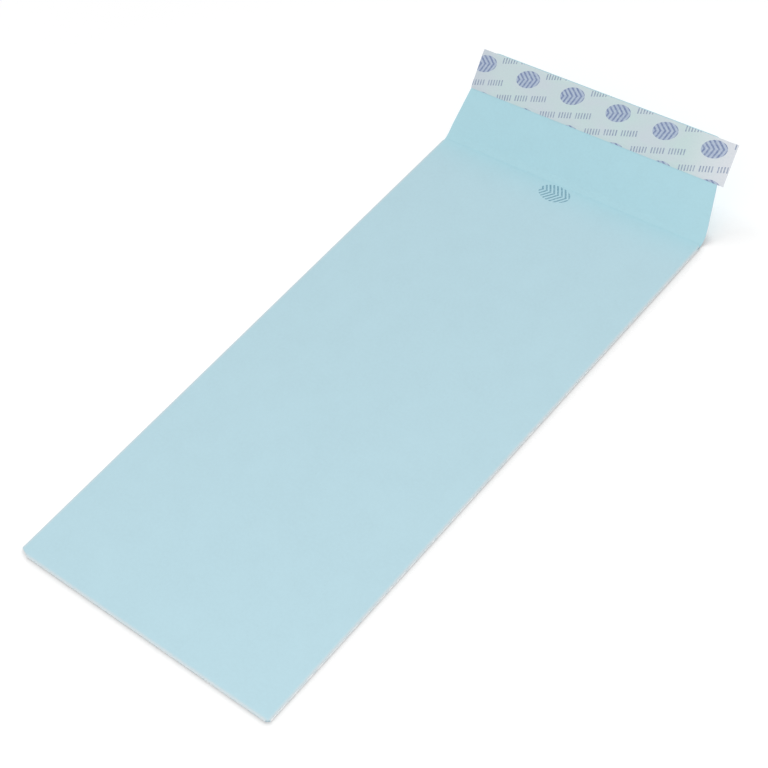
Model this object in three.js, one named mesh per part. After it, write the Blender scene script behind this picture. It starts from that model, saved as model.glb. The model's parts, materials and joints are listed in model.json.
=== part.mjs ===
// Pocket envelope with a peel and seal flap on its short side, lying on its address face.
// Millimetres, +Z up. The origin is the middle of the address face, +Y runs towards the flap,
// and the flap stands part open, with its gummed side and its release liner facing up.
import * as THREE from 'three';

// Outside size of the closed pocket.
const POCKET_WIDTH = 115;
const POCKET_LENGTH = 225;

// Paper, and the room that the folded sheet keeps between its layers.
const PAPER = 0.15;
const INSIDE_GAP = 0.2;
const GUM_THICKNESS = 0.05;

// The back panel stops just short of the flap's crease, and is a hair narrower than the pocket.
const THROAT_SETBACK = 1.0;
const THROAT_CORNER = 1.5;
const BACK_INSET = 0.25;

// The bottom corners are clipped at a shallow angle, so that they can't snag, the left one wider.
const LEFT_CLIP_WIDTH = 3.8;
const LEFT_CLIP_HEIGHT = 1.4;
const RIGHT_CLIP_WIDTH = 1.0;
const RIGHT_CLIP_HEIGHT = 0.6;

// Side seam flaps, folded in from the front panel and gummed to the inside of the back panel.
const SEAM_WIDTH = 16;
const SEAM_BOTTOM_MARGIN = 0.3;
const SEAM_TOP_SETBACK = 3;
const SEAM_MITRE = 5;
const GUM_WIDTH = 9;
const GUM_END_MARGIN = 8;
const GUM_OUTER_MARGIN = 3;

// Closing flap: its depth from the crease, how far each side tapers in, and its rounded tip.
const FLAP_DEPTH = 35.5;
const FLAP_TAPER = 5.6;
const FLAP_SHOULDER = 3;
const FLAP_TIP_RADIUS = 5.5;
const FLAP_ROOT_GAP = 0.05;
const FLAP_RAISE_DEGREES = 44;

// Pressure-sensitive strip and the release liner over it, measured from the flap's crease.
const ADHESIVE_THICKNESS = 0.08;
const ADHESIVE_WIDTH = 12;
const ADHESIVE_END_MARGIN = 1.5;
const LINER_THICKNESS = 0.12;
const LINER_WIDTH = 15;
const LINER_LENGTH = 111;
const LINER_TIP_MARGIN = 0.25;
const LINER_SHIFT = 1.2;
const LAYER_GAP = 0.05;
const CLOSED_CLEARANCE = 0.1;

const ARC_STEPS = 12;

// Heights of the layers, from the address face up.
const seamTop = 2 * PAPER + INSIDE_GAP;
const backBottom = seamTop + GUM_THICKNESS;
const stackHeight = backBottom + PAPER;
const sideRadius = seamTop / 2;
const bottomRadius = stackHeight / 2;

const halfWidth = POCKET_WIDTH / 2;
const creaseY = POCKET_LENGTH / 2;
const panelHalfWidth = halfWidth - sideRadius;
const panelBottomY = -creaseY + bottomRadius;
const bottomFoldLeft = -halfWidth + BACK_INSET + LEFT_CLIP_WIDTH;
const bottomFoldRight = halfWidth - BACK_INSET - RIGHT_CLIP_WIDTH;

// The crease turns half way up to where the flap lies when it is closed over its liner.
const flapStack = PAPER + LAYER_GAP + ADHESIVE_THICKNESS + LAYER_GAP + LINER_THICKNESS;
const hingeHeight = (stackHeight + CLOSED_CLEARANCE + flapStack) / 2;

const materials = {
  outerPaper: () => new THREE.MeshStandardMaterial({ color: '#b3d9e2', roughness: 0.85, metalness: 0 }),
  flapPaper: () => new THREE.MeshStandardMaterial({ color: '#a9d3dd', roughness: 0.85, metalness: 0 }),
  innerPaper: () => new THREE.MeshStandardMaterial({ color: '#a6cdd7', roughness: 0.9, metalness: 0 }),
  gum: () => new THREE.MeshStandardMaterial({ color: '#e6e2d2', roughness: 0.5, metalness: 0 }),
  adhesive: () => new THREE.MeshStandardMaterial({ color: '#dfe6df', roughness: 0.25, metalness: 0 }),
  liner: () => new THREE.MeshStandardMaterial({ color: '#cdd8da', roughness: 0.35, metalness: 0 }),
};

// A flat sheet: the outline lies in X and Y, and the thickness rises from the given height.
function sheet(outline, thickness, height) {
  const geometry = new THREE.ExtrudeGeometry(outline, {
    depth: thickness,
    bevelEnabled: false,
    curveSegments: ARC_STEPS,
  });
  return geometry.translate(0, 0, height);
}

// The half-round roll of a folded edge, from lower layer to upper layer, with the bend on +X.
function foldRoll(outerRadius, length) {
  const innerRadius = outerRadius - PAPER;
  const section = new THREE.Shape();
  section.absarc(0, 0, outerRadius, -Math.PI / 2, Math.PI / 2, false);
  section.lineTo(0, innerRadius);
  section.absarc(0, 0, innerRadius, Math.PI / 2, -Math.PI / 2, true);
  section.closePath();
  const geometry = new THREE.ExtrudeGeometry(section, {
    depth: length,
    bevelEnabled: false,
    curveSegments: ARC_STEPS,
  });
  // The section's Y becomes +Z, and the roll runs along Y with its middle at zero.
  geometry.translate(0, 0, -length / 2);
  geometry.rotateX(Math.PI / 2);
  return geometry.translate(0, 0, outerRadius);
}

function piece(name, geometry, material) {
  const mesh = new THREE.Mesh(geometry, material);
  mesh.name = name;
  return mesh;
}

// Starts a panel's outline along its bottom edge, from the left side round both clipped corners.
function clippedBottom(half) {
  const outline = new THREE.Shape();
  outline.moveTo(-half, panelBottomY + LEFT_CLIP_HEIGHT);
  outline.lineTo(bottomFoldLeft, panelBottomY);
  outline.lineTo(bottomFoldRight, panelBottomY);
  outline.lineTo(half, panelBottomY + RIGHT_CLIP_HEIGHT);
  return outline;
}

function frontPanel() {
  const outline = clippedBottom(panelHalfWidth);
  outline.lineTo(panelHalfWidth, creaseY);
  outline.lineTo(-panelHalfWidth, creaseY);
  outline.closePath();
  return piece('front_panel', sheet(outline, PAPER, 0), materials.outerPaper());
}

function backPanel() {
  const half = halfWidth - BACK_INSET;
  const top = creaseY - THROAT_SETBACK;
  const outline = clippedBottom(half);
  outline.lineTo(half, top - THROAT_CORNER);
  outline.absarc(half - THROAT_CORNER, top - THROAT_CORNER, THROAT_CORNER, 0, Math.PI / 2, false);
  outline.lineTo(-half + THROAT_CORNER, top);
  outline.absarc(-half + THROAT_CORNER, top - THROAT_CORNER, THROAT_CORNER, Math.PI / 2, Math.PI, false);
  outline.closePath();
  return piece('back_panel', sheet(outline, PAPER, backBottom), materials.outerPaper());
}

function bottomFold() {
  const geometry = foldRoll(bottomRadius, bottomFoldRight - bottomFoldLeft);
  // The bend turns from +X to -Y, so the roll runs along the bottom edge.
  geometry.rotateZ(-Math.PI / 2);
  geometry.translate((bottomFoldLeft + bottomFoldRight) / 2, panelBottomY, 0);
  return piece('bottom_fold', geometry, materials.outerPaper());
}

const seamTopY = creaseY - SEAM_TOP_SETBACK;

// A side fold and its seam flap start just above their clipped corner. side is 1 for the right-hand
// edge and -1 for the left-hand edge.
function seamBottomY(side) {
  const clipHeight = side < 0 ? LEFT_CLIP_HEIGHT : RIGHT_CLIP_HEIGHT;
  return panelBottomY + clipHeight + SEAM_BOTTOM_MARGIN;
}

function sideFold(name, side) {
  const bottom = seamBottomY(side);
  const geometry = foldRoll(sideRadius, seamTopY - bottom);
  if (side < 0) geometry.rotateZ(Math.PI);
  geometry.translate(side * panelHalfWidth, (bottom + seamTopY) / 2, 0);
  return piece(name, geometry, materials.outerPaper());
}

function seamFlap(name, side) {
  const outer = side * panelHalfWidth;
  const inner = side * (panelHalfWidth - SEAM_WIDTH);
  const bottom = seamBottomY(side);
  const outline = new THREE.Shape();
  outline.moveTo(outer, bottom);
  outline.lineTo(outer, seamTopY);
  outline.lineTo(inner, seamTopY - SEAM_MITRE);
  outline.lineTo(inner, bottom + SEAM_MITRE);
  outline.closePath();
  return piece(name, sheet(outline, PAPER, PAPER + INSIDE_GAP), materials.innerPaper());
}

function seamGum(name, side) {
  const outer = side * (panelHalfWidth - GUM_OUTER_MARGIN);
  const inner = outer - side * GUM_WIDTH;
  const bottom = seamBottomY(side) + GUM_END_MARGIN;
  const top = seamTopY - GUM_END_MARGIN;
  const outline = new THREE.Shape();
  outline.moveTo(outer, bottom);
  outline.lineTo(outer, top);
  outline.lineTo(inner, top);
  outline.lineTo(inner, bottom);
  outline.closePath();
  return piece(name, sheet(outline, GUM_THICKNESS, seamTop), materials.gum());
}

// The flap and what it carries are drawn lying open flat, with Y measured from the crease.
const flapBase = -hingeHeight;
const adhesiveBase = flapBase + PAPER + LAYER_GAP;
const linerBase = adhesiveBase + ADHESIVE_THICKNESS + LAYER_GAP;
const linerTip = FLAP_DEPTH - LINER_TIP_MARGIN;
const linerRoot = linerTip - LINER_WIDTH;
const taperPerDepth = FLAP_TAPER / (FLAP_DEPTH - FLAP_SHOULDER);

// Half the flap's width at a depth past its shoulder.
function flapHalfWidth(depth) {
  return halfWidth - BACK_INSET - taperPerDepth * (depth - FLAP_SHOULDER);
}

function closingFlap() {
  const root = halfWidth - BACK_INSET;
  const tip = flapHalfWidth(FLAP_DEPTH);
  const slope = Math.atan(taperPerDepth);
  const shoulderEnd = 2 * FLAP_SHOULDER;
  // The tip's arc touches both the top edge and the tapered side.
  const centreX = tip + FLAP_TIP_RADIUS * (taperPerDepth - 1 / Math.cos(slope));
  const centreY = FLAP_DEPTH - FLAP_TIP_RADIUS;
  const outline = new THREE.Shape();
  outline.moveTo(-root, FLAP_ROOT_GAP);
  outline.lineTo(root, FLAP_ROOT_GAP);
  outline.quadraticCurveTo(root, FLAP_SHOULDER, flapHalfWidth(shoulderEnd), shoulderEnd);
  outline.absarc(centreX, centreY, FLAP_TIP_RADIUS, slope, Math.PI / 2, false);
  outline.absarc(-centreX, centreY, FLAP_TIP_RADIUS, Math.PI / 2, Math.PI - slope, false);
  outline.lineTo(-flapHalfWidth(shoulderEnd), shoulderEnd);
  outline.quadraticCurveTo(-root, FLAP_SHOULDER, -root, FLAP_ROOT_GAP);
  outline.closePath();
  return piece('closing_flap', sheet(outline, PAPER, flapBase), materials.flapPaper());
}

function adhesiveStrip() {
  const middle = (linerRoot + linerTip) / 2;
  const top = middle + ADHESIVE_WIDTH / 2;
  const half = flapHalfWidth(top) - ADHESIVE_END_MARGIN;
  const outline = new THREE.Shape();
  outline.moveTo(-half, middle - ADHESIVE_WIDTH / 2);
  outline.lineTo(half, middle - ADHESIVE_WIDTH / 2);
  outline.lineTo(half, top);
  outline.lineTo(-half, top);
  outline.closePath();
  return piece('adhesive_strip', sheet(outline, ADHESIVE_THICKNESS, adhesiveBase), materials.adhesive());
}

function releaseLiner() {
  const left = LINER_SHIFT - LINER_LENGTH / 2;
  const right = LINER_SHIFT + LINER_LENGTH / 2;
  const outline = new THREE.Shape();
  outline.moveTo(left, linerRoot);
  outline.lineTo(right, linerRoot);
  outline.lineTo(right, linerTip);
  outline.lineTo(left, linerTip);
  outline.closePath();
  return piece('release_liner', sheet(outline, LINER_THICKNESS, linerBase), materials.liner());
}

const envelope = new THREE.Group();

const pocket = new THREE.Group();
pocket.add(frontPanel());
pocket.add(backPanel());
pocket.add(bottomFold());
pocket.add(sideFold('left_side_fold', -1));
pocket.add(sideFold('right_side_fold', 1));
pocket.add(seamFlap('left_seam_flap', -1));
pocket.add(seamFlap('right_seam_flap', 1));
pocket.add(seamGum('left_seam_gum', -1));
pocket.add(seamGum('right_seam_gum', 1));
envelope.add(pocket);

const flap = new THREE.Group();
flap.add(closingFlap());
flap.add(adhesiveStrip());
flap.add(releaseLiner());
flap.position.set(0, creaseY, hingeHeight);
flap.rotation.x = THREE.MathUtils.degToRad(FLAP_RAISE_DEGREES);
envelope.add(flap);

export default envelope;
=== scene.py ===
"""Looks of a pocket envelope with a peel and seal flap: paper, folds, adhesive, printed liner, floor and light.

Lengths are metres, as the frame's are. A sheet also carries its flat, unfolded place in millimetres in an
attribute named flat, so that grain and print follow the paper when it bends.
"""
import json
import math

import bpy
import numpy as np
from mathutils import Matrix, Vector, noise


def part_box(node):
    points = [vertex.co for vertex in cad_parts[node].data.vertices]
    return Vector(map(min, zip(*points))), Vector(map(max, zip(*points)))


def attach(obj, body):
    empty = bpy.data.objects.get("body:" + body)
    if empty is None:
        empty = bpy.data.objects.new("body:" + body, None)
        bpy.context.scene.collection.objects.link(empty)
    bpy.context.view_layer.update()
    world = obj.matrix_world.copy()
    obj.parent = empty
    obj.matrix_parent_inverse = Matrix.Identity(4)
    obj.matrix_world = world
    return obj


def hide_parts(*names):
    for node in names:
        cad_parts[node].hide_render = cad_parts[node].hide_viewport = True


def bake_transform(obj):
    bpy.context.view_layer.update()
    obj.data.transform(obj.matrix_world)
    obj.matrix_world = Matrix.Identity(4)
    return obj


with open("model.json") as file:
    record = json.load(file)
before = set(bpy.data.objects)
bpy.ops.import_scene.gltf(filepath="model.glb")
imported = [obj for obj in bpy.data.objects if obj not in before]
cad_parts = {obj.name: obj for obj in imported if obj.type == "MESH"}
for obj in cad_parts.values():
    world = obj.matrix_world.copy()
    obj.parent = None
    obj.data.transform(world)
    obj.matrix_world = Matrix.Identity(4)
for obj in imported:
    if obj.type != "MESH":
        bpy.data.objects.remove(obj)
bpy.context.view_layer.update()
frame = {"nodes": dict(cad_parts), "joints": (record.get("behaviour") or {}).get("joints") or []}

MM = 0.001

# Camera, fitted to the photograph's corners. The shift takes the place of the photograph's crop.
CAMERA_AT = Vector((0.33571, -0.24435, 0.45974))
CAMERA_AIM = Vector((-0.00164, 0.00072, 0.0))
CAMERA_ROLL = math.radians(17.503)
CAMERA_LENS = 86.62
CAMERA_SENSOR = 36.0
CAMERA_SHIFT = (0.02344, 0.01042)
CAMERA_NEAR = 0.01
CAMERA_FAR = 20.0

# The flap's outline and the side seams, as the CAD model has them.
FLAP_TAPER = 5.6 * MM
FLAP_SHOULDER = 3.0 * MM
FLAP_TIP_RADIUS = 5.5 * MM
THROAT_CORNER = 1.5 * MM
SEAM_MITRE = 5.0 * MM

# The paper bends softly at the crease, to this radius.
CREASE_RADIUS = 8.0 * MM

# Length of paper that turns at the crease when the flap moves, and of liner that turns when it peels.
LINER_BEND = 1.2 * MM

# Spacing of the sheets' vertices.
ROW_STEP = 2.5 * MM
COLUMNS = 46
TIP_ROWS = 14
CREASE_ROWS = 14
FOLD_ROWS = 10
THROAT_CORNER_ROWS = 6
LINER_STEP = 2.0 * MM
LINER_ROW_STEP = 1.5 * MM
LINER_MARGIN_STEP = 0.25 * MM
LINER_BEND_STEP = 0.08 * MM
ADHESIVE_STEP = 1.2 * MM
ADHESIVE_ROW_STEP = 0.75 * MM

# Edges sharper than this are shaded as edges.
SHARP_ANGLE = math.radians(50)

# The third number of a sheet's flat place, which tells the back panel and the side wraps from the rest.
BACK_LAYER = 50.0
SIDE_LAYER = 20.0
PLAIN_LAYER = 0.0

# Closer than this, two places are taken as one.
SAME_PLACE = 0.01 * MM


# Measures read from the frame

def joint(name):
    return next(j for j in frame["joints"] if j["name"] == name)


def node_box(name):
    low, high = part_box(name)
    return Vector(low), Vector(high)


crease = joint("flap_crease")
HINGE = Vector(crease["pos_m"])
FLAP_RAISE = math.radians(-crease["range_deg"][0])

front_low, front_high = node_box("front_panel")
back_low, back_high = node_box("back_panel")
PAPER = front_high.z - front_low.z
HALF_WIDTH = front_high.x
CREASE_Y = front_high.y
BOTTOM_Y = front_low.y
BACK_Z = (back_low.z + back_high.z) / 2
THROAT_Y = back_high.y

# The clipped corners: where the bottom fold ends, and how high each corner starts.
fold_low, fold_high = node_box("bottom_fold")


def corner_height(side):
    """How far above the panel's bottom edge its side edge starts, on the left (-1) or the right (1)."""
    edge = [v.co.y for v in frame["nodes"]["front_panel"].data.vertices if side * v.co.x > HALF_WIDTH - SAME_PLACE]
    return min(edge) - BOTTOM_Y


LEFT_CLIP_HEIGHT = corner_height(-1)
RIGHT_CLIP_HEIGHT = corner_height(1)


def to_flap(point):
    """A point as across the width, up the raised flap from its hinge, and out of the flap's gummed side."""
    offset = Vector(point) - HINGE
    c = math.cos(FLAP_RAISE)
    s = math.sin(FLAP_RAISE)
    return Vector((offset.x, offset.y * c + offset.z * s, offset.z * c - offset.y * s))


def from_flap(across, up, out):
    """The point that to_flap gives these three for."""
    c = math.cos(FLAP_RAISE)
    s = math.sin(FLAP_RAISE)
    return HINGE + Vector((across, up * c - out * s, up * s + out * c))


FLAP_OUT = Vector((0.0, -math.sin(FLAP_RAISE), math.cos(FLAP_RAISE)))


def flap_box(name):
    """A node's box on the flap's own axes."""
    points = [to_flap(v.co) for v in frame["nodes"][name].data.vertices]
    low = Vector([min(p[i] for p in points) for i in range(3)])
    high = Vector([max(p[i] for p in points) for i in range(3)])
    return low, high


flap_low, flap_high = flap_box("closing_flap")
liner_low, liner_high = flap_box("release_liner")
strip_low, strip_high = flap_box("adhesive_strip")
FLAP_DEPTH = flap_high.y
FLAP_MID = (flap_low.z + flap_high.z) / 2


# Helper that builds shader nodes

class Graph:
    """Builds a material's nodes. A method that makes a value returns its output socket."""

    def __init__(self, name):
        self.material = bpy.data.materials.new(name)
        self.material.use_nodes = True
        self.tree = self.material.node_tree
        self.tree.nodes.clear()
        self.output = self.tree.nodes.new("ShaderNodeOutputMaterial")

    def node(self, kind, **settings):
        made = self.tree.nodes.new(kind)
        for key, value in settings.items():
            setattr(made, key, value)
        return made

    def feed(self, socket, value):
        if isinstance(value, bpy.types.NodeSocket):
            self.tree.links.new(value, socket)
        else:
            socket.default_value = value

    def math(self, operation, *values):
        made = self.node("ShaderNodeMath", operation=operation)
        for socket, value in zip(made.inputs, values):
            self.feed(socket, value)
        return made.outputs[0]

    def squared(self, value):
        return self.math("MULTIPLY", value, value)

    def flat(self):
        """The place on the unfolded sheet."""
        return self.node("ShaderNodeAttribute", attribute_name="flat").outputs["Vector"]

    def split(self, vector):
        made = self.node("ShaderNodeSeparateXYZ")
        self.feed(made.inputs[0], vector)
        return made.outputs

    def scaled(self, vector, factors):
        made = self.node("ShaderNodeVectorMath", operation="MULTIPLY")
        self.feed(made.inputs[0], vector)
        made.inputs[1].default_value = factors
        return made.outputs[0]

    def noise(self, vector, scale, detail=3.0, roughness=0.5):
        made = self.node("ShaderNodeTexNoise")
        self.feed(made.inputs["Vector"], vector)
        made.inputs["Scale"].default_value = scale
        made.inputs["Detail"].default_value = detail
        made.inputs["Roughness"].default_value = roughness
        return made.outputs["Fac"]

    def remap(self, value, low, high, out_low, out_high):
        """Value as it runs from low to high, turned into a run from out_low to out_high and held there."""
        made = self.node("ShaderNodeMapRange")
        self.feed(made.inputs["Value"], value)
        made.inputs["From Min"].default_value = low
        made.inputs["From Max"].default_value = high
        made.inputs["To Min"].default_value = out_low
        made.inputs["To Max"].default_value = out_high
        return made.outputs["Result"]

    def mix(self, share, first, second, blend_type="MIX"):
        made = self.node("ShaderNodeMix", data_type="RGBA", blend_type=blend_type)
        self.feed(made.inputs["Factor"], share)
        self.feed(made.inputs["A"], first)
        self.feed(made.inputs["B"], second)
        return next(s for s in made.outputs if s.type == "RGBA")

    def bump(self, height, strength, distance):
        made = self.node("ShaderNodeBump")
        made.inputs["Strength"].default_value = strength
        made.inputs["Distance"].default_value = distance
        self.feed(made.inputs["Height"], height)
        return made.outputs["Normal"]

    def surface(self, color, roughness, normal, **sockets):
        made = self.node("ShaderNodeBsdfPrincipled")
        self.feed(made.inputs["Base Color"], color)
        self.feed(made.inputs["Roughness"], roughness)
        self.feed(made.inputs["Normal"], normal)
        for key, value in sockets.items():
            made.inputs[key.replace("_", " ")].default_value = value
        self.tree.links.new(made.outputs[0], self.output.inputs["Surface"])


def from_srgb(red, green, blue):
    """A colour given as 0 to 255 display values, as the linear colour that a shader takes."""
    def linear(value):
        value /= 255
        return value / 12.92 if value <= 0.04045 else ((value + 0.055) / 1.055) ** 2.4
    return (linear(red), linear(green), linear(blue), 1.0)


# Materials. Places and widths on the sheets are in millimetres, and noise scales are per millimetre.

BLUE_OUTSIDE = from_srgb(180, 211, 221)
# The inside is the same dyed paper as the outside; its more saturated blue is painted bounce light, the blue light
# that flap and body throw onto each other.
BLUE_INSIDE_WITH_BOUNCE = from_srgb(177, 216, 226)
# Painted shade at the crease: a deeper blue in place of the crease's shade and the blue light that flap and body
# bounce onto each other.
BLUE_CREASE_SHADE = from_srgb(171, 211, 221)
BLUE_CUT = from_srgb(214, 222, 226)
PALE_FOLD = from_srgb(214, 216, 217)
# Near white: painted light on the shaded side of the rolled side edges, over rubbed dye.
PALE_ROLL_PAINTED_LIGHT = from_srgb(250, 248, 247)
MARK_INK = from_srgb(110, 154, 174)
LINER_GREEN = from_srgb(201, 221, 220)
LINER_GREY = from_srgb(205, 216, 222)
LINER_SHADE = from_srgb(192, 208, 213)
LINER_PALE = from_srgb(226, 227, 233)
LINER_LILAC = from_srgb(203, 208, 219)
HATCH_INK = from_srgb(136, 151, 178)
TAG_INK = from_srgb(170, 184, 208)
CHEVRON_INK = from_srgb(116, 132, 172)
RELEASE_DARK = from_srgb(206, 212, 212)
RELEASE_LIGHT = from_srgb(222, 224, 224)
ADHESIVE_DARK = from_srgb(188, 213, 216)
ADHESIVE_LIGHT = from_srgb(208, 224, 222)
GUM_DARK = from_srgb(214, 208, 186)
GUM_LIGHT = from_srgb(230, 226, 208)

PAPER_ROUGHNESS = 0.78
CUT_ROUGHNESS = 0.9
LINER_ROUGHNESS = 0.38
RELEASE_ROUGHNESS = 0.26
ADHESIVE_ROUGHNESS = 0.2
GUM_ROUGHNESS = 0.42

# How far the painted shade at the crease reaches over the crease and down the back.
CREASE_SHADE_SPAN = 3.2
CREASE_SHADE_REACH = 17.0
CREASE_SHADE_FALL = 2.0

# How wide the folds are rubbed pale, how much of the dye is gone there, and how fast that falls off. On the rolled
# side edges that share also lays on painted light.
RUB_WIDTH = 1.1
RUB_AND_LIGHT_SHARE = 0.8
RUB_FALL = 1.6

# The noise below which rubbed dye and ink are worn most.
WEAR_LOW = 0.35

# The paper's grain. A tint is a factor on the paper's own colour.
CLOUD_SCALE = 0.11
CLOUD_TINTS = (0.984, 1.013)
FORMATION_SCALE = 0.9
FORMATION_TINT = 1.06
FIBRE_SCALE = 1.6
FIBRE_STRETCH = ((3.2, 0.55, 1.0), (0.6, 3.0, 1.0))
FIBRE_TINT = 0.9
FLECK_SCALE = 2.3
FLECK_STRETCH = (1.0, 0.4, 1.0)
FLECK_TINT = 0.72
TOOTH_DEPTH = 0.06 * MM

LINER_GRAIN_DEPTH = 0.06 * MM
RELEASE_GRAIN_DEPTH = 0.05 * MM
ADHESIVE_PULL_DEPTH = 0.12 * MM
GUM_STREAK_DEPTH = 0.05 * MM


def tinted(color, factor):
    return tuple(min(1.0, c * factor) for c in color[:3]) + (1.0,)


def wear(g, flat, scale, high, least, most):
    """A patchy mask that runs between these two shares."""
    return g.remap(g.noise(flat, scale, detail=3.0), WEAR_LOW, high, least, most)


def rubbed_folds_and_roll_light(g, flat):
    """Mask of the side and bottom folds, where the paper's dye is rubbed pale. On the rolled side edges it also lays
    on painted light.
    """
    x, y, _ = g.split(flat)
    half = HALF_WIDTH / MM
    bottom = (BOTTOM_Y - CREASE_Y) / MM
    side = g.remap(g.math("ABSOLUTE", x), half - RUB_WIDTH, half, 0.0, 1.0)
    side = g.math("MULTIPLY", side, g.math("LESS_THAN", y, 0.0))
    end = g.remap(y, bottom + RUB_WIDTH, bottom, 0.0, 1.0)
    rubbed = g.math("POWER", g.math("MAXIMUM", side, end), RUB_FALL)
    return g.math("MULTIPLY", g.math("MULTIPLY", rubbed, wear(g, flat, 0.7, 0.65, 0.6, 1.0)), RUB_AND_LIGHT_SHARE)


def on_back(g, layer):
    """Mask of the back panel."""
    return g.math("GREATER_THAN", layer, (BACK_LAYER + SIDE_LAYER) / 2)


def paint_crease_shade(g, flat, base, color, inside):
    """Painted shade and blue bounce light near the crease, where inside and outside run into each other with no line.
    """
    _, y, layer = g.split(flat)
    if inside:
        share = g.remap(y, CREASE_SHADE_SPAN, -CREASE_SHADE_SPAN, 0.0, 1.0)
    else:
        share = g.math("POWER", g.remap(y, -CREASE_SHADE_REACH, 0.0, 0.0, 1.0), CREASE_SHADE_FALL)
        share = g.math("MULTIPLY", share, on_back(g, layer))
    ratio = [crease_shading / own for crease_shading, own in zip(BLUE_CREASE_SHADE[:3], color[:3])]
    return g.mix(share, base, (*ratio, 1.0), "MULTIPLY")


def paper_material(name, color, roughness=PAPER_ROUGHNESS, fold_color=None, crease_shading=True):
    """Smooth dyed paper: cloudy formation, fine fibres both ways, a few darker flecks, faint tooth.

    Paper with a fold_color is the outer side, which also bears the mark and is rubbed to that colour at its folds. On
    the rolled side edges that colour is near white: painted light on the roll's shaded side, over rubbed dye.
    """
    g = Graph(name)
    flat = g.flat()
    cloud = g.noise(flat, CLOUD_SCALE, detail=4.0, roughness=0.6)
    formation = g.noise(flat, FORMATION_SCALE, detail=3.0)
    along, across = [g.noise(g.scaled(flat, stretch), FIBRE_SCALE, detail=2.0) for stretch in FIBRE_STRETCH]
    fibres = g.math("MULTIPLY", g.math("ADD", along, across), 0.5)
    fleck = g.noise(g.scaled(flat, FLECK_STRETCH), FLECK_SCALE, detail=1.0)
    base = g.mix(g.remap(cloud, 0.3, 0.7, 0.0, 1.0), *[tinted(color, tint) for tint in CLOUD_TINTS])
    base = g.mix(g.remap(formation, 0.35, 0.7, 0.0, 0.35), base, tinted(color, FORMATION_TINT))
    base = g.mix(g.remap(fibres, 0.58, 0.72, 0.0, 0.5), base, tinted(color, FIBRE_TINT))
    base = g.mix(g.remap(fleck, 0.76, 0.8, 0.0, 0.35), base, tinted(color, FLECK_TINT))
    # Painted shade and bounce light near the crease.
    if crease_shading:
        base = paint_crease_shade(g, flat, base, color, fold_color is None)
    if fold_color is not None:
        base = g.mix(opening_mark(g, flat), base, MARK_INK)
        # Rubbed dye at the folds, and painted light on the rolled side edges.
        base = g.mix(rubbed_folds_and_roll_light(g, flat), base, fold_color)
    tooth = g.math("ADD", fibres, g.math("MULTIPLY", formation, 0.6))
    normal = g.bump(tooth, 0.35, TOOTH_DEPTH)
    g.surface(base, roughness, normal, Specular_IOR_Level=0.35)
    return g.material


# How far a chevron's arms lean back for each step away from its tip.
TAG_SLOPE = 0.75


def turned(g, x, y, angle):
    """The same place on axes turned by the angle."""
    c = math.cos(angle)
    s = math.sin(angle)
    along = g.math("ADD", g.math("MULTIPLY", x, c), g.math("MULTIPLY", y, s))
    up = g.math("SUBTRACT", g.math("MULTIPLY", y, c), g.math("MULTIPLY", x, s))
    return along, up


def oval_tag(g, along, up, half_length, half_height, pitch, stroke):
    """Masks of an oval and of the nested chevrons on it."""
    far = g.squared(g.math("DIVIDE", along, half_length))
    high = g.squared(g.math("DIVIDE", up, half_height))
    oval = g.math("LESS_THAN", g.math("ADD", far, high), 1.0)
    level = g.math("ADD", along, g.math("MULTIPLY", g.math("ABSOLUTE", up), TAG_SLOPE))
    ring = g.math("PINGPONG", level, pitch / 2)
    return oval, g.math("MULTIPLY", oval, g.math("LESS_THAN", ring, stroke / 2))


# A small plain mark under the throat: an oval of nested chevrons. Its centre's place is counted from the crease.
MARK_CENTRE = (-2.6, -5.05)
MARK_HALF_LENGTH = 6.5
MARK_HALF_HEIGHT = 3.9
MARK_STROKE_PITCH = 1.7
MARK_STROKE = 0.85


def opening_mark(g, flat):
    """Mask of the mark's strokes, worn in places."""
    x, y, layer = g.split(flat)
    x = g.math("SUBTRACT", x, MARK_CENTRE[0])
    y = g.math("SUBTRACT", y, MARK_CENTRE[1])
    _, strokes = oval_tag(g, x, y, MARK_HALF_LENGTH, MARK_HALF_HEIGHT, MARK_STROKE_PITCH, MARK_STROKE)
    strokes = g.math("MULTIPLY", strokes, on_back(g, layer))
    return g.math("MULTIPLY", strokes, wear(g, flat, 1.3, 0.6, 0.5, 0.95))


# The liner's print: oval tags of nested chevrons and rows of grouped hatching, turned against the strip. Places are
# counted across the flap and up it from its hinge.
PRINT_ANGLE = math.radians(15.5)
PRINT_PITCH = 20.06
PRINT_ROW_PITCH = 13.3
PRINT_ROW_SHIFT = -2.5
PRINT_ROW_RISE = 0.0075
TAG_CENTRE = (8.45, 30.75)
TAG_HALF_LENGTH = 5.05
TAG_HALF_HEIGHT = 3.15
CHEVRON_PITCH = 1.85
CHEVRON_STROKE = 0.85
HATCH_CENTRE = (8.2, 23.5)
HATCH_ROWS = (0, 1)
HATCH_HALF_ROW = 11.0
HATCH_HALF_HEIGHT = 1.05
HATCH_GROUP_PITCH = 7.6
HATCH_HALF_GROUP = 3.2
HATCH_PITCH = 1.15
HATCH_STROKE = 0.5
HATCH_SLOPE = 0.2


def nearest_cell(g, value, pitch):
    """Distance from the nearest multiple of the pitch, and that multiple's number."""
    number = g.math("FLOOR", g.math("ADD", g.math("DIVIDE", value, pitch), 0.5))
    return g.math("SUBTRACT", value, g.math("MULTIPLY", number, pitch)), number


def tag_print(g, x, y):
    """Masks of the tags and of the chevrons on them."""
    up, row = nearest_cell(g, g.math("SUBTRACT", y, TAG_CENTRE[1]), PRINT_ROW_PITCH)
    across = g.math("SUBTRACT", g.math("SUBTRACT", x, TAG_CENTRE[0]), g.math("MULTIPLY", row, PRINT_ROW_SHIFT))
    across, _ = nearest_cell(g, across, PRINT_PITCH)
    along, up = turned(g, across, up, PRINT_ANGLE)
    return oval_tag(g, along, up, TAG_HALF_LENGTH, TAG_HALF_HEIGHT, CHEVRON_PITCH, CHEVRON_STROKE)


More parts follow.
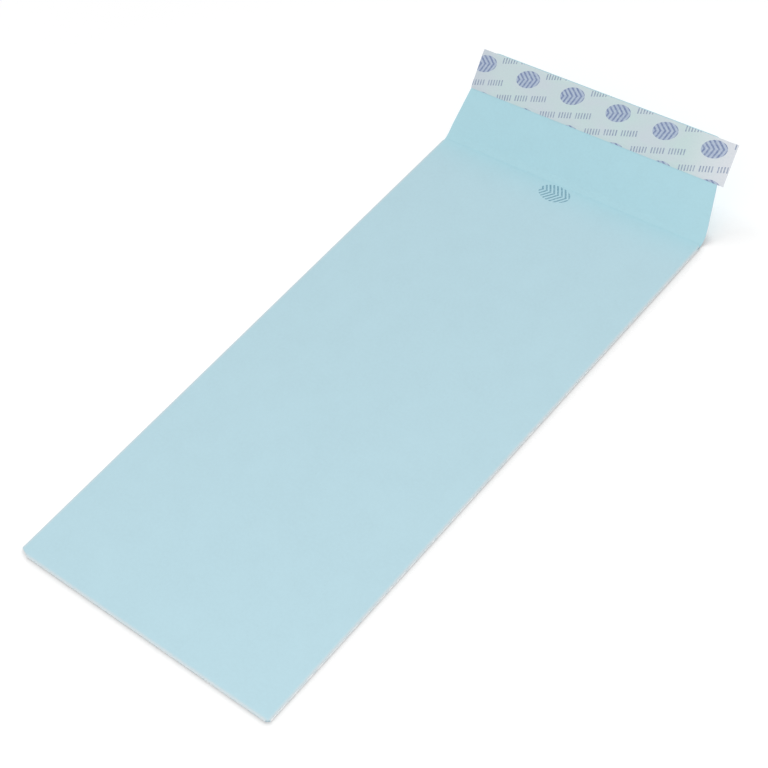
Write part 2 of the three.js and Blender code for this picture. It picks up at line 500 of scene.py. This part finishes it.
def hatch_print(g, x, y, row):
    """Mask of the hatching in one row of cells."""
    x = g.math("SUBTRACT", x, HATCH_CENTRE[0] + row * PRINT_ROW_SHIFT)
    y = g.math("SUBTRACT", y, HATCH_CENTRE[1] + row * PRINT_ROW_PITCH)
    along, up = turned(g, x, y, PRINT_ANGLE)
    up, number = nearest_cell(g, up, PRINT_PITCH * math.sin(PRINT_ANGLE))
    along = g.math("ADD", along, g.math("MULTIPLY", number, PRINT_PITCH * math.cos(PRINT_ANGLE)))
    leaning = g.math("SUBTRACT", along, g.math("MULTIPLY", up, HATCH_SLOPE))
    stroke = g.math("LESS_THAN", g.math("PINGPONG", leaning, HATCH_PITCH / 2), HATCH_STROKE / 2)
    group = g.math("LESS_THAN", g.math("PINGPONG", leaning, HATCH_GROUP_PITCH / 2), HATCH_HALF_GROUP)
    in_row = g.math("LESS_THAN", g.math("ABSOLUTE", leaning), HATCH_HALF_ROW)
    in_row = g.math("MULTIPLY", in_row, g.math("LESS_THAN", g.math("ABSOLUTE", up), HATCH_HALF_HEIGHT))
    return g.math("MULTIPLY", g.math("MULTIPLY", stroke, group), in_row)


def liner_print(g, flat):
    """Masks of the tags, of the chevrons on them and of the hatching."""
    x, y, _ = g.split(flat)
    y = g.math("SUBTRACT", y, g.math("MULTIPLY", x, PRINT_ROW_RISE))
    tags, chevrons = tag_print(g, x, y)
    rows = [hatch_print(g, x, y, row) for row in HATCH_ROWS]
    return tags, chevrons, g.math("MAXIMUM", *rows)


# From where to where the liner's tone changes towards its right and its left end.
LINER_PALE_END = (38.0, 56.0)
LINER_LILAC_END = (-44.0, -54.0)


def liner_material():
    """Silicone-coated paper: satin, greenish grey, pale at its right end and lilac at its left, with worn print."""
    g = Graph("liner_coated")
    flat = g.flat()
    x, _, _ = g.split(flat)
    mottle = g.remap(g.noise(g.scaled(flat, (0.5, 1.0, 1.0)), 0.12, detail=2.0), 0.35, 0.65, 0.0, 1.0)
    base = g.mix(mottle, LINER_GREEN, LINER_GREY)
    base = g.mix(g.remap(x, *LINER_PALE_END, 0.0, 0.9), base, LINER_PALE)
    base = g.mix(g.remap(x, *LINER_LILAC_END, 0.0, 0.8), base, LINER_LILAC)
    fine = g.noise(flat, 1.4, detail=4.0, roughness=0.6)
    base = g.mix(g.remap(fine, 0.4, 0.75, 0.0, 0.3), base, LINER_SHADE)
    tags, chevrons, hatching = liner_print(g, flat)
    worn = wear(g, flat, 1.1, 0.6, 0.6, 0.95)
    for mask, ink in ((hatching, HATCH_INK), (tags, TAG_INK), (chevrons, CHEVRON_INK)):
        base = g.mix(g.math("MULTIPLY", mask, worn), base, ink)
    ripple = g.noise(g.scaled(flat, (0.35, 1.0, 1.0)), 0.35, detail=2.0)
    normal = g.bump(g.math("ADD", g.math("MULTIPLY", ripple, 3.0), fine), 0.25, LINER_GRAIN_DEPTH)
    g.surface(base, LINER_ROUGHNESS, normal, Specular_IOR_Level=0.5, Coat_Weight=0.25, Coat_Roughness=0.22)
    return g.material


def liner_back_material():
    """The release side of the liner, which bears no print."""
    g = Graph("liner_release_side")
    flat = g.flat()
    fine = g.noise(flat, 1.2, detail=4.0, roughness=0.6)
    base = g.mix(g.remap(fine, 0.35, 0.7, 0.0, 1.0), RELEASE_DARK, RELEASE_LIGHT)
    normal = g.bump(fine, 0.15, RELEASE_GRAIN_DEPTH)
    g.surface(base, RELEASE_ROUGHNESS, normal, Specular_IOR_Level=0.5, Coat_Weight=0.4, Coat_Roughness=0.12)
    return g.material


def adhesive_material():
    """Pale, tacky and glossy film, pulled into streaks."""
    g = Graph("adhesive_film")
    flat = g.flat()
    pull = g.noise(g.scaled(flat, (0.5, 2.4, 1.0)), 0.8, detail=3.0)
    base = g.mix(g.remap(pull, 0.3, 0.7, 0.0, 1.0), ADHESIVE_DARK, ADHESIVE_LIGHT)
    normal = g.bump(pull, 0.5, ADHESIVE_PULL_DEPTH)
    g.surface(base, ADHESIVE_ROUGHNESS, normal, Specular_IOR_Level=0.5, Coat_Weight=0.6, Coat_Roughness=0.08)
    return g.material


def gum_material():
    """Dried gum on the frame's own nodes, which have no flat place, so its noise runs in metres."""
    g = Graph("dried_gum")
    where = g.node("ShaderNodeTexCoord").outputs["Object"]
    streak = g.noise(g.scaled(where, (900.0, 60.0, 900.0)), 1.0, detail=3.0)
    base = g.mix(g.remap(streak, 0.35, 0.7, 0.0, 1.0), GUM_DARK, GUM_LIGHT)
    g.surface(base, GUM_ROUGHNESS, g.bump(streak, 0.3, GUM_STREAK_DEPTH), Specular_IOR_Level=0.5)
    return g.material


outside_paper = paper_material("blue_paper_outside", BLUE_OUTSIDE, fold_color=PALE_FOLD)
# Paper of the rolled side edges, which carries painted light on the roll's shaded side.
rolled_paper_painted_light = paper_material("blue_paper_rolled_edge_painted_light", BLUE_OUTSIDE, fold_color=PALE_ROLL_PAINTED_LIGHT)
# The inside paper's colour carries painted bounce light between flap and body.
inside_paper_with_bounce = paper_material("blue_paper_inside_with_bounce", BLUE_INSIDE_WITH_BOUNCE)
cut_paper = paper_material("blue_paper_cut_edge", BLUE_CUT, roughness=CUT_ROUGHNESS, crease_shading=False)
liner_face = liner_material()
liner_back = liner_back_material()
adhesive_film = adhesive_material()
dried_gum = gum_material()


# Sheets with thickness

def build_sheet(name, points, normals, flats, thickness, materials):
    """A closed sheet from a grid of middle points.

    The materials are for the side that the normals point to, the other side and the rim.
    """
    points = np.array(points, float)
    normals = np.array(normals, float)
    rows, columns = points.shape[:2]
    over = points + normals * thickness / 2
    under = points - normals * thickness / 2
    count = rows * columns
    vertices = np.concatenate([over.reshape(-1, 3), under.reshape(-1, 3)])

    def index(row, column):
        return row * columns + column

    faces = []
    kinds = []
    for row in range(rows - 1):
        for column in range(columns - 1):
            a = index(row, column)
            b = index(row, column + 1)
            c = index(row + 1, column + 1)
            d = index(row + 1, column)
            faces.append((a, b, c, d))
            kinds.append(0)
            faces.append((d + count, c + count, b + count, a + count))
            kinds.append(1)
    loop = [index(0, c) for c in range(columns)]
    loop += [index(r, columns - 1) for r in range(1, rows)]
    loop += [index(rows - 1, c) for c in range(columns - 2, -1, -1)]
    loop += [index(r, 0) for r in range(rows - 2, 0, -1)]
    for a, b in zip(loop, loop[1:] + loop[:1]):
        faces.append((b, a, a + count, b + count))
        kinds.append(2)

    # The grid may run either way round, so the faces are turned to point out of the sheet.
    a, b, c, _ = faces[0]
    facing = np.cross(vertices[b] - vertices[a], vertices[c] - vertices[b]) @ normals[0, 0]
    if facing < 0:
        faces = [tuple(reversed(f)) for f in faces]

    mesh = bpy.data.meshes.new(name)
    mesh.from_pydata(vertices.tolist(), [], faces)
    for material in materials:
        mesh.materials.append(material)
    mesh.polygons.foreach_set("material_index", kinds)
    mesh.polygons.foreach_set("use_smooth", [True] * len(faces))
    flat = mesh.attributes.new("flat", "FLOAT_VECTOR", "POINT")
    flats = np.array(flats, float).reshape(-1, 3)
    flat.data.foreach_set("vector", np.concatenate([flats, flats]).ravel())
    mesh.update()
    mesh.set_sharp_from_angle(angle=SHARP_ANGLE)
    made = bpy.data.objects.new(name, mesh)
    bpy.context.scene.collection.objects.link(made)
    return made


def spread(start, end, step):
    """Values from start to end, both kept, at most step apart."""
    count = max(1, math.ceil(abs(end - start) / step))
    return [start + (end - start) * i / count for i in range(count + 1)]


def flap_half_width(up):
    """Half the flap's width at a height from the crease, with its soft shoulder and rounded tip."""
    slope = FLAP_TAPER / (FLAP_DEPTH - FLAP_SHOULDER)
    if up <= 0:
        return HALF_WIDTH
    if up < 2 * FLAP_SHOULDER:
        # The shoulder's curve has its control point where the taper's line meets the straight side.
        share = up / (2 * FLAP_SHOULDER)
        return HALF_WIDTH - slope * FLAP_SHOULDER * share ** 2
    side = HALF_WIDTH - slope * (up - FLAP_SHOULDER)
    angle = math.atan(slope)
    centre_up = FLAP_DEPTH - FLAP_TIP_RADIUS
    tip_half = HALF_WIDTH - FLAP_TAPER
    centre = tip_half + FLAP_TIP_RADIUS * (slope - 1 / math.cos(angle))
    if up > centre_up + FLAP_TIP_RADIUS * math.sin(angle):
        rise = min(1.0, (up - centre_up) / FLAP_TIP_RADIUS)
        return centre + FLAP_TIP_RADIUS * math.sqrt(1 - rise ** 2)
    return side


def panel_sides(y):
    """Left and right ends of a panel at a place along it, with its clipped bottom corners."""
    left_share = min(1.0, (y - BOTTOM_Y) / LEFT_CLIP_HEIGHT)
    right_share = min(1.0, (y - BOTTOM_Y) / RIGHT_CLIP_HEIGHT)
    left = fold_low.x + (-HALF_WIDTH - fold_low.x) * left_share
    right = fold_high.x + (HALF_WIDTH - fold_high.x) * right_share
    return left, right


def throat_half_width(below):
    """Half the back panel's width at a distance below the throat."""
    if below >= THROAT_CORNER:
        return HALF_WIDTH
    rest = THROAT_CORNER - below
    return HALF_WIDTH - THROAT_CORNER + math.sqrt(THROAT_CORNER ** 2 - rest ** 2)


# Slight unevenness of the lying paper, and how far from the bottom and from the throat it takes to rise in full.
WAVE_HEIGHT = 0.10 * MM
WAVE_SCALE = (14, 9)
WAVE_PLACE = 3.7
WAVE_LIFT = 0.6
CROWN_HEIGHT = 0.25 * MM
RISE_FROM_BOTTOM = 30 * MM
RISE_FROM_THROAT = 60 * MM


def back_relief(x, y):
    """How far the back panel stands up: a low crown between the seams, and lazy waves."""
    edge = max(0.0, 1 - (x / HALF_WIDTH) ** 2)
    from_bottom = max(0.0, (y - BOTTOM_Y) / RISE_FROM_BOTTOM)
    from_throat = max(0.0, (THROAT_Y - y) / RISE_FROM_THROAT)
    ends = min(1.0, from_bottom) * min(1.0, from_throat)
    wave = noise.noise(Vector((x * WAVE_SCALE[0], y * WAVE_SCALE[1], WAVE_PLACE)))
    return (CROWN_HEIGHT * edge + WAVE_HEIGHT * (WAVE_LIFT + wave) * min(1.0, 3 * edge)) * ends


# The soft crease: an arc that touches the front panel's plane and the raised flap's plane. The planes meet
# a little in front of the hinge, and the arc starts and ends the same distance from where they meet.
FRONT_Z = (front_low.z + front_high.z) / 2
PLANES_MEET = -FLAP_MID * math.tan(FLAP_RAISE / 2)
ARC_REACH = CREASE_RADIUS * math.tan(FLAP_RAISE / 2)
ARC_START_Y = HINGE.y + PLANES_MEET - ARC_REACH
ARC_END_UP = ARC_REACH - PLANES_MEET
ARC_START_FLAT = ARC_END_UP - CREASE_RADIUS * FLAP_RAISE


def crease_arc(angle):
    """A point of the crease's arc, as y and z, for an angle up from the front panel."""
    y = ARC_START_Y + CREASE_RADIUS * math.sin(angle)
    z = FRONT_Z + CREASE_RADIUS * (1 - math.cos(angle))
    return y, z


def blank_rows():
    """The folded blank from the flap's tip over the crease, the front, the bottom fold and the back.

    Each row is y, z, the inside normal's y and z, the left and the right end, the unfolded place up from the
    crease, and the layer.
    """
    rows = []
    slope = math.atan(FLAP_TAPER / (FLAP_DEPTH - FLAP_SHOULDER))
    tip_centre = FLAP_DEPTH - FLAP_TIP_RADIUS
    arc_start = tip_centre + FLAP_TIP_RADIUS * math.sin(slope)
    ups = []
    for i in range(TIP_ROWS + 1):
        angle = math.pi / 2 + (slope - math.pi / 2) * i / TIP_ROWS
        ups.append(tip_centre + FLAP_TIP_RADIUS * math.sin(angle))
    ups += spread(arc_start, ARC_END_UP, ROW_STEP)[1:]
    for up in ups:
        place = from_flap(0.0, up, FLAP_MID)
        half = flap_half_width(up)
        rows.append((place.y, place.z, FLAP_OUT.y, FLAP_OUT.z, -half, half, up, PLAIN_LAYER))

    # Through the crease the steps are finest in the middle, where the paper turns as the flap closes.
    for i in range(1, 2 * CREASE_ROWS + 1):
        share = 1 - i / CREASE_ROWS
        angle = FLAP_RAISE / 2 * (1 + math.copysign(abs(share) ** 2, share))
        y, z = crease_arc(angle)
        up = ARC_START_FLAT + CREASE_RADIUS * angle
        half = flap_half_width(up)
        rows.append((y, z, -math.sin(angle), math.cos(angle), -half, half, up, PLAIN_LAYER))

    ys = spread(ARC_START_Y, BOTTOM_Y + LEFT_CLIP_HEIGHT, ROW_STEP)[1:] + [BOTTOM_Y + RIGHT_CLIP_HEIGHT, BOTTOM_Y]
    for y in ys:
        left, right = panel_sides(y)
        rows.append((y, FRONT_Z, 0.0, 1.0, left, right, ARC_START_FLAT - (ARC_START_Y - y), PLAIN_LAYER))
    flat = ARC_START_FLAT - (ARC_START_Y - BOTTOM_Y)

    radius = (BACK_Z - FRONT_Z) / 2
    for i in range(1, FOLD_ROWS):
        angle = math.pi * i / FOLD_ROWS
        y = BOTTOM_Y - radius * math.sin(angle)
        z = FRONT_Z + radius * (1 - math.cos(angle))
        left, right = fold_low.x, fold_high.x
        rows.append((y, z, math.sin(angle), math.cos(angle), left, right, flat - radius * angle, PLAIN_LAYER))

    corner = []
    for i in range(THROAT_CORNER_ROWS + 1):
        corner.append(THROAT_Y - THROAT_CORNER * (1 - math.sin(math.pi / 2 * i / THROAT_CORNER_ROWS)))
    ys = [BOTTOM_Y, BOTTOM_Y + RIGHT_CLIP_HEIGHT] + spread(BOTTOM_Y + LEFT_CLIP_HEIGHT, corner[0], ROW_STEP)[:-1]
    for y in ys + corner:
        left, right = panel_sides(y)
        half = throat_half_width(THROAT_Y - y)
        # The back's flat place is counted from the crease as the front's is, so that the mark lies below the throat.
        rows.append((y, BACK_Z, 0.0, -1.0, max(left, -half), min(right, half), y - CREASE_Y, BACK_LAYER))
    return rows


def make_blank():
    """The one sheet that is the flap, the front, the bottom fold and the back."""
    points = []
    normals = []
    flats = []
    for y, z, normal_y, normal_z, left, right, flat, layer in blank_rows():
        row = []
        for i in range(COLUMNS + 1):
            x = left + (right - left) * i / COLUMNS
            lift = back_relief(x, y) if layer == BACK_LAYER else 0.0
            row.append((x, y, z + lift))
        points.append(row)
        normals.append([(0.0, normal_y, normal_z)] * len(row))
        flats.append([(p[0] / MM, flat / MM, layer) for p in row])
    made = build_sheet("folded_blank", points, normals, flats, PAPER, [inside_paper_with_bounce, outside_paper, cut_paper])
    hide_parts("front_panel", "back_panel", "bottom_fold", "closing_flap")
    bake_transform(made)


def make_side_wrap(name, side, fold_node, seam_node):
    """The rolled side edge and the seam flap that it carries inside."""
    seam_low, seam_high = node_box(seam_node)
    seam_z = (seam_low.z + seam_high.z) / 2
    radius = (seam_z - FRONT_Z) / 2
    seam_width = seam_high.x - seam_low.x
    count = math.ceil((seam_high.y - seam_low.y) / ROW_STEP)
    path = []
    for i in range(FOLD_ROWS + 1):
        angle = math.pi * i / FOLD_ROWS
        x = HALF_WIDTH + radius * math.sin(angle)
        z = FRONT_Z + radius * (1 - math.cos(angle))
        path.append((x, z, -math.sin(angle), math.cos(angle), 0.0, radius * angle))
    for inward in spread(0.0, seam_width, ROW_STEP)[1:]:
        mitre = SEAM_MITRE * inward / seam_width
        path.append((HALF_WIDTH - inward, seam_z, 0.0, -1.0, mitre, radius * math.pi + inward))
    points = []
    normals = []
    flats = []
    for x, z, normal_x, normal_z, mitre, flat in path:
        low = seam_low.y + mitre
        high = seam_high.y - mitre
        row = [(side * x, low + (high - low) * i / count, z) for i in range(count + 1)]
        points.append(row)
        normals.append([(side * normal_x, 0.0, normal_z)] * len(row))
        flats.append([(side * (HALF_WIDTH + flat) / MM, (p[1] - CREASE_Y) / MM, SIDE_LAYER) for p in row])
    # The roll's outer side carries painted light as well as rubbed dye.
    made = build_sheet(name, points, normals, flats, PAPER, [inside_paper_with_bounce, rolled_paper_painted_light, cut_paper])
    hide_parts(fold_node, seam_node)
    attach(made, "pocket")


# Past the strip's edges the liner's free margins hang down to just above the flap.
LINER_MARGIN = min(strip_low.y - liner_low.y, liner_high.y - strip_high.y)
LINER_CLEARANCE = 0.01 * MM
LINER_DROOP = liner_low.z - flap_high.z - LINER_CLEARANCE
DROOP_FALL = 1.5


def liner_droop(up):
    """How far the liner hangs down at a height on the flap."""
    inward = min(up - liner_low.y, liner_high.y - up) / LINER_MARGIN
    return LINER_DROOP * max(0.0, 1 - inward) ** DROOP_FALL


def make_liner():
    """The release liner, with fine steps at its left end, which bends up as it peels."""
    mid = (liner_low.z + liner_high.z) / 2
    thickness = liner_high.z - liner_low.z
    acrosses = spread(liner_low.x, liner_low.x + LINER_BEND, LINER_BEND_STEP)
    acrosses += spread(liner_low.x + LINER_BEND, liner_high.x, LINER_STEP)[1:]
    ups = spread(liner_low.y, liner_low.y + LINER_MARGIN, LINER_MARGIN_STEP)
    ups += spread(ups[-1], liner_high.y - LINER_MARGIN, LINER_ROW_STEP)[1:]
    ups += spread(ups[-1], liner_high.y, LINER_MARGIN_STEP)[1:]
    points = []
    normals = []
    flats = []
    for across in acrosses:
        points.append([from_flap(across, up, mid - liner_droop(up)) for up in ups])
        normals.append([FLAP_OUT] * len(ups))
        flats.append([(across / MM, up / MM, PLAIN_LAYER) for up in ups])
    made = build_sheet("release_liner_sheet", points, normals, flats, thickness, [liner_face, liner_back, liner_back])
    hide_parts("release_liner")
    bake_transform(made)


# The adhesive film's edges wander by this share of its half width, this many times in a metre. The noise is read at
# a place of its own for each edge.
FILM_WANDER = 0.05
FILM_WANDER_SCALE = 160
FILM_EDGE_PLACES = (9.0, 3.0)
FILM_PLACE = 0.5


def make_adhesive():
    """The tacky film, slightly uneven along its edges."""
    thickness = strip_high.z - strip_low.z
    mid = (strip_low.z + strip_high.z) / 2
    acrosses = spread(strip_low.x, strip_high.x, ADHESIVE_STEP)
    ups = spread(strip_low.y, strip_high.y, ADHESIVE_ROW_STEP)
    middle = (strip_low.y + strip_high.y) / 2
    half = (strip_high.y - strip_low.y) / 2
    points = []
    normals = []
    flats = []
    for across in acrosses:
        row = []
        for up in ups:
            share = (up - middle) / half
            wobble = noise.noise(Vector((across * FILM_WANDER_SCALE, FILM_EDGE_PLACES[share > 0], FILM_PLACE)))
            reach = 1 - FILM_WANDER * abs(share) * (1 + wobble)
            row.append(from_flap(across, middle + (up - middle) * reach, mid))
        points.append(row)
        normals.append([FLAP_OUT] * len(row))
        flats.append([(across / MM, up / MM, PLAIN_LAYER) for up in ups])
    made = build_sheet("adhesive_film", points, normals, flats, thickness, [adhesive_film] * 3)
    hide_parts("adhesive_strip")
    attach(made, "flap")


# Floor, light and camera

FLOOR_SIZE = 6.0
FLOOR_GAP = 0.02 * MM
FLOOR_GREY = 0.93

# Glow that lifts the floor to white where it is seen, near the part and far from it, and these distances.
FLOOR_LIFT = 0.12
FLOOR_FAR_LIFT = 0.35
FLOOR_NEAR = 0.25
FLOOR_FAR = 1.5

# The contact shadow falls away from CONTACT_FROM. The floor darkens where something within CONTACT_REACH hides the sky
# on that side, from the second of these shares of open sky down to the first.
CONTACT_FROM = Vector((-0.56, 0.52, 0.65))
CONTACT_REACH = 4.0 * MM
CONTACT_OPEN = (0.7, 0.985)
CONTACT_DEPTH = 0.35
CONTACT_SAMPLES = 4

SKY_LEVEL = 0.62
KEY_LEVEL = 0.9
KEY_ANGLE = math.radians(34)
KEY_FROM = Vector((-0.62, 0.42, 0.66))
FILL_FROM = Vector((0.36, -0.58, 0.62))
FILL_SIZE = 0.6
FILL_LEVEL = 0.375


def make_floor():
    """A pale matt floor that keeps the part's shadow, which is deepest where the part touches it."""
    bpy.ops.mesh.primitive_plane_add(size=FLOOR_SIZE, location=(0, 0, front_low.z - FLOOR_GAP))
    floor = bpy.context.object
    floor.name = "floor"
    g = Graph("pale_floor")
    towards = g.node("ShaderNodeCombineXYZ")
    for socket, value in zip(towards.inputs, CONTACT_FROM.normalized()):
        socket.default_value = value
    sky = g.node("ShaderNodeAmbientOcclusion", samples=CONTACT_SAMPLES)
    sky.inputs["Distance"].default_value = CONTACT_REACH
    g.feed(sky.inputs["Normal"], towards.outputs[0])
    grey = g.remap(sky.outputs["AO"], *CONTACT_OPEN, FLOOR_GREY * (1 - CONTACT_DEPTH), FLOOR_GREY)
    diffuse = g.node("ShaderNodeBsdfDiffuse")
    g.feed(diffuse.inputs["Color"], grey)
    glow = g.node("ShaderNodeEmission")
    path = g.node("ShaderNodeLightPath").outputs
    seen = g.math("MAXIMUM", path["Is Camera Ray"], path["Is Glossy Ray"])
    seen = g.math("MAXIMUM", seen, path["Is Transmission Ray"])
    distance = g.node("ShaderNodeVectorMath", operation="LENGTH")
    g.feed(distance.inputs[0], g.node("ShaderNodeTexCoord").outputs["Object"])
    lift = g.remap(distance.outputs["Value"], FLOOR_NEAR, FLOOR_FAR, FLOOR_LIFT, FLOOR_FAR_LIFT)
    g.feed(glow.inputs["Strength"], g.math("MULTIPLY", seen, lift))
    both = g.node("ShaderNodeAddShader")
    g.tree.links.new(diffuse.outputs[0], both.inputs[0])
    g.tree.links.new(glow.outputs[0], both.inputs[1])
    g.tree.links.new(both.outputs[0], g.output.inputs["Surface"])
    floor.data.materials.append(g.material)


def place_lamp(name, data, where):
    """A lamp that shines from a place to the origin."""
    lamp = bpy.data.objects.new(name, data)
    lamp.rotation_mode = "QUATERNION"
    lamp.rotation_quaternion = where.to_track_quat("Z", "Y")
    lamp.location = where
    bpy.context.scene.collection.objects.link(lamp)


def make_light():
    """A plain white room that is seen as pure white, a soft sun and a soft fill."""
    world = bpy.data.worlds.new("studio")
    bpy.context.scene.world = world
    world.use_nodes = True
    tree = world.node_tree
    background = tree.nodes["Background"]
    background.inputs["Color"].default_value = (1.0, 1.0, 1.0, 1.0)
    path = tree.nodes.new("ShaderNodeLightPath")
    level = tree.nodes.new("ShaderNodeMapRange")
    level.inputs["To Min"].default_value = SKY_LEVEL
    level.inputs["To Max"].default_value = 1.0
    tree.links.new(path.outputs["Is Camera Ray"], level.inputs["Value"])
    tree.links.new(level.outputs["Result"], background.inputs["Strength"])

    key = bpy.data.lights.new("key", "SUN")
    key.energy = KEY_LEVEL
    key.angle = KEY_ANGLE
    place_lamp("key", key, KEY_FROM)

    # A square lamp's light on what faces it is its power over pi squared and the distance squared.
    fill = bpy.data.lights.new("fill", "AREA")
    fill.size = FILL_SIZE
    fill.energy = FILL_LEVEL * math.pi ** 2 * FILL_FROM.length_squared
    fill.use_shadow = False
    place_lamp("fill", fill, FILL_FROM)


def make_camera():
    """The photograph's camera, which looks from CAMERA_AT to CAMERA_AIM and leans by CAMERA_ROLL."""
    data = bpy.data.cameras.new("camera")
    data.sensor_width = CAMERA_SENSOR
    data.lens = CAMERA_LENS
    data.shift_x, data.shift_y = CAMERA_SHIFT
    data.clip_start = CAMERA_NEAR
    data.clip_end = CAMERA_FAR
    camera = bpy.data.objects.new("camera", data)
    back = (CAMERA_AT - CAMERA_AIM).normalized()
    right = Vector((0, 0, 1)).cross(back).normalized()
    up = back.cross(right)
    rolled_up = up * math.cos(CAMERA_ROLL) + right * math.sin(CAMERA_ROLL)
    rolled_right = right * math.cos(CAMERA_ROLL) - up * math.sin(CAMERA_ROLL)
    turn = Matrix((rolled_right, rolled_up, back)).transposed()
    camera.matrix_world = Matrix.Translation(CAMERA_AT) @ turn.to_4x4()
    bpy.context.scene.collection.objects.link(camera)
    bpy.context.scene.camera = camera


make_camera()
make_blank()
make_side_wrap("left_side_wrap", -1, "left_side_fold", "left_seam_flap")
make_side_wrap("right_side_wrap", 1, "right_side_fold", "right_seam_flap")
make_liner()
make_adhesive()
for gum_line in ("left_seam_gum", "right_seam_gum"):
    gum_mesh = frame["nodes"][gum_line].data
    gum_mesh.materials.clear()
    gum_mesh.materials.append(dried_gum)
make_floor()
make_light()

scene = bpy.context.scene
scene.view_settings.view_transform = "Standard"
